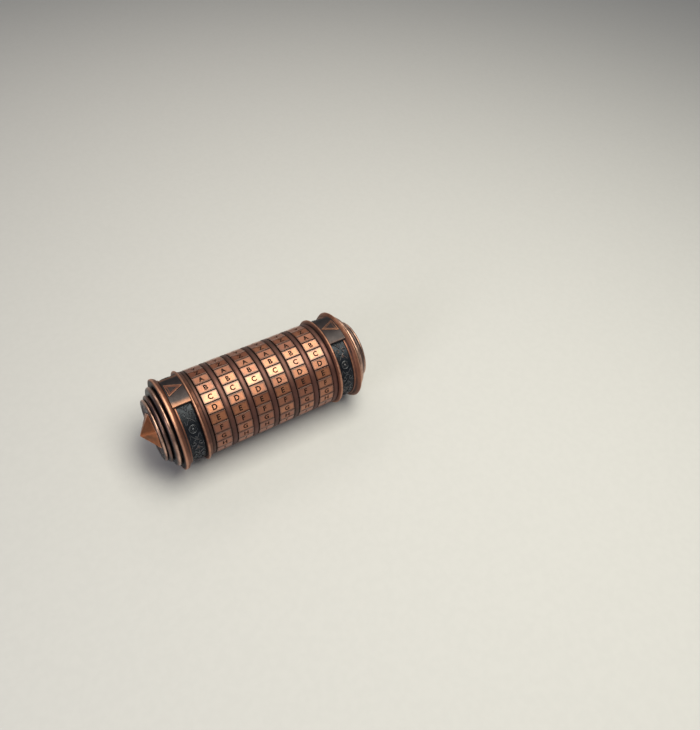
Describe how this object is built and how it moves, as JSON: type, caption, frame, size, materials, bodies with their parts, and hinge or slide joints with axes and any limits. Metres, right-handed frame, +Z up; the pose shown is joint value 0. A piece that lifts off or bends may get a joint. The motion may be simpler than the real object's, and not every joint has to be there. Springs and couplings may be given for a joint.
{
  "type": "cryptex",
  "caption": "Cylindrical letter-lock puzzle box: rotating lettered rings between ornate caps, and a tubular compartment that slides out when the code is set.",
  "frame": {"origin": "centre of the bounding box, on the barrel's axis midway between the two knob tips", "axes": "+X along the barrel towards the fixed end cap, +Z up through the reading line, -Y towards the viewer"},
  "size_m": [0.1266, 0.0486, 0.0486],
  "materials": {
    "copper_plates": "worn antique copper with dark grooves",
    "antique_copper": "worn antique copper",
    "knob_copper": "satin copper",
    "dark_band": "blackened, with copper showing on the raised edges",
    "brass_inner": "turned brass",
    "steel_inner": "plain turned steel",
    "screw_steel": "blackened steel"
  },
  "bodies": {
    "barrel": {"core_sleeve": "steel_inner", "retainer_ring": "brass_inner", "retainer_screws": "screw_steel", "disc_spring": "steel_inner", "fixed_collar": "antique_copper", "fixed_band": "dark_band", "fixed_pads": "dark_band", "fixed_pointer": "antique_copper", "fixed_flange": "antique_copper", "fixed_disc": "antique_copper", "fixed_step": "antique_copper", "fixed_knob": "knob_copper", "fixed_plug": "steel_inner", "fixed_screws": "screw_steel"},
    "drawer": {"container_tube": "brass_inner", "container_lid": "brass_inner", "locking_pegs": "steel_inner", "pull_collar": "antique_copper", "pull_band": "dark_band", "pull_pads": "dark_band", "pull_pointer": "antique_copper", "pull_flange": "antique_copper", "pull_disc": "antique_copper", "pull_step": "antique_copper", "pull_knob": "knob_copper", "pull_plug": "steel_inner", "pull_screws": "screw_steel"},
    "dial_1": {"letter_ring_1": "copper_plates", "lock_ring_1": "brass_inner"},
    "dial_2": {"letter_ring_2": "copper_plates", "lock_ring_2": "brass_inner"},
    "dial_3": {"letter_ring_3": "copper_plates", "lock_ring_3": "brass_inner"},
    "dial_4": {"letter_ring_4": "copper_plates", "lock_ring_4": "brass_inner"},
    "dial_5": {"letter_ring_5": "copper_plates", "lock_ring_5": "brass_inner"},
    "dial_6": {"letter_ring_6": "copper_plates", "lock_ring_6": "brass_inner"}
  },
  "joints": [
    {"name": "drawer_slide", "type": "slide", "parent": "barrel", "child": "drawer", "axis": [-1, 0, 0], "range_m": [0, 0.08]},
    {"name": "dial_1_turn", "type": "hinge", "parent": "barrel", "child": "dial_1", "pos_m": [-0.02875, 0, 0], "axis": [1, 0, 0], "continuous": true},
    {"name": "dial_2_turn", "type": "hinge", "parent": "barrel", "child": "dial_2", "pos_m": [-0.01725, 0, 0], "axis": [1, 0, 0], "continuous": true},
    {"name": "dial_3_turn", "type": "hinge", "parent": "barrel", "child": "dial_3", "pos_m": [-0.00575, 0, 0], "axis": [1, 0, 0], "continuous": true},
    {"name": "dial_4_turn", "type": "hinge", "parent": "barrel", "child": "dial_4", "pos_m": [0.00575, 0, 0], "axis": [1, 0, 0], "continuous": true},
    {"name": "dial_5_turn", "type": "hinge", "parent": "barrel", "child": "dial_5", "pos_m": [0.01725, 0, 0], "axis": [1, 0, 0], "continuous": true},
    {"name": "dial_6_turn", "type": "hinge", "parent": "barrel", "child": "dial_6", "pos_m": [0.02875, 0, 0], "axis": [1, 0, 0], "continuous": true}
  ]
}
